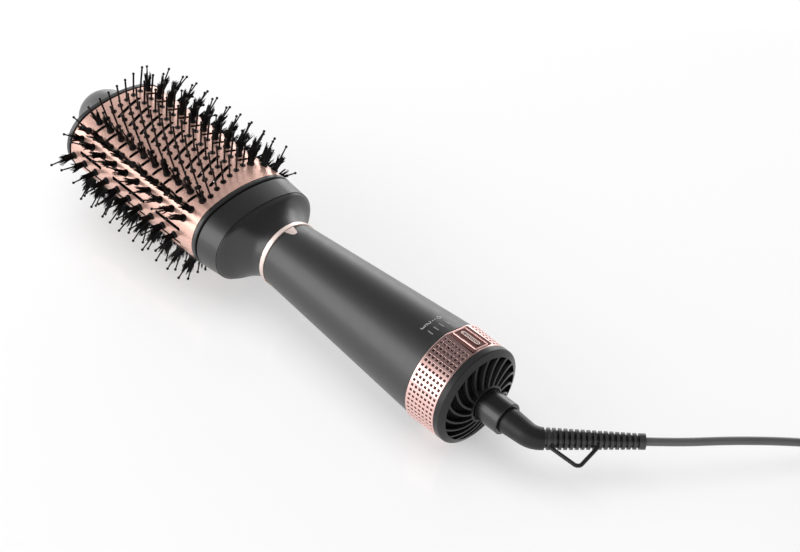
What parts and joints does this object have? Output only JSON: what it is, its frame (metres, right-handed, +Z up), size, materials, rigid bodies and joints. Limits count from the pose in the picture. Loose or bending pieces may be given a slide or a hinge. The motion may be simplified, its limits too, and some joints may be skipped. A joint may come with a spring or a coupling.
{
  "type": "hot-air styling brush",
  "caption": "Oval hot-air styling brush: perforated oval barrel with ball-tip pins and bristle tufts, tapered grip, rotary selector ring, rear intake grille and swivel cord with plug.",
  "frame": {"origin": "under the middle of the brush's bounding box (without its free cord), on the table that it lies on", "axes": "+X from the head towards the cord end, +Z up from the table, +Y to the left seen from the head; the product's axis slopes 3.1 degrees down towards the cord end, because the brush rests on its pins and on the rear cap's rim"},
  "size_m": [0.549, 0.201, 0.0799],
  "materials": {
    "rose_gold_satin": "satin",
    "rose_gold_chrome": "polished",
    "pointer_chrome": "polished",
    "charcoal_plastic": "satin",
    "soft_touch_grip": "soft touch",
    "gloss_black": "gloss",
    "soft_black": "matte",
    "black_nylon": "semi-gloss",
    "black_bristle": "bristle",
    "grey_grille": "satin",
    "pale_print": "matte",
    "steel": "bright",
    "nylon_inner": "matte",
    "mica": "matte",
    "heating_wire": "oxidised",
    "circuit_board": "satin",
    "capacitor_yellow": "gloss",
    "cord_black": "satin",
    "tie_black": "matte",
    "plug_brass": "nickel plated"
  },
  "bodies": {
    "dryer_body": {"barrel_shell": "rose_gold_satin", "top_pin_rows": "black_nylon", "bottom_pin_rows": "black_nylon", "near_bristle_rows": "black_bristle", "far_bristle_rows": "black_bristle", "end_cap": "charcoal_plastic", "cool_tip": "charcoal_plastic", "tip_nut": "steel", "tie_rod": "steel", "barrel_spider": "nylon_inner", "head_collar": "charcoal_plastic", "neck_flare": "charcoal_plastic", "collar_screws": "steel", "neck_trim_ring": "rose_gold_chrome", "handle_shell": "soft_touch_grip", "tick_marks": "pale_print", "heater_sleeve": "mica", "mica_board_upright": "mica", "mica_board_flat": "mica", "heater_coil": "heating_wire", "thermostat": "steel", "thermal_fuse": "steel", "fan_shroud": "nylon_inner", "motor_can": "steel", "motor_end_bell": "nylon_inner", "rear_carrier": "nylon_inner", "carrier_screws": "steel", "detent_spring": "steel", "control_board": "circuit_board", "selector_switch": "nylon_inner", "capacitor": "capacitor_yellow", "rectifier": "black_nylon", "ion_generator": "black_nylon", "inlet_grille": "grey_grille", "intake_screen": "steel", "cord_boss": "gloss_black", "boss_nut": "nylon_inner"},
    "selector": {"selector_ring": "rose_gold_chrome", "selector_pointer": "pointer_chrome", "selector_drum": "nylon_inner"},
    "fan": {"motor_shaft": "steel", "fan_wheel": "nylon_inner"},
    "swivel": {"swivel_elbow": "soft_black", "swivel_clip": "steel", "strain_relief": "soft_black", "hanging_loop": "soft_black", "cord_tube": "cord_black", "cord_coil": "cord_black", "cord_tie": "tie_black", "cord_tail": "cord_black", "plug_body": "soft_black", "plug_pins": "plug_brass"}
  },
  "joints": [
    {"name": "selector_turn", "type": "hinge", "parent": "dryer_body", "child": "selector", "pos_m": [0.12109, 0, 0.02707], "axis": [0.9986, 0, -0.0537], "range_deg": [0, 24]},
    {"name": "fan_spin", "type": "hinge", "parent": "dryer_body", "child": "fan", "pos_m": [0.12109, 0, 0.02707], "axis": [0.9986, 0, -0.0537], "continuous": true},
    {"name": "cord_swivel", "type": "hinge", "parent": "dryer_body", "child": "swivel", "pos_m": [0.12109, 0, 0.02707], "axis": [0.9986, 0, -0.0537], "continuous": true}
  ]
}
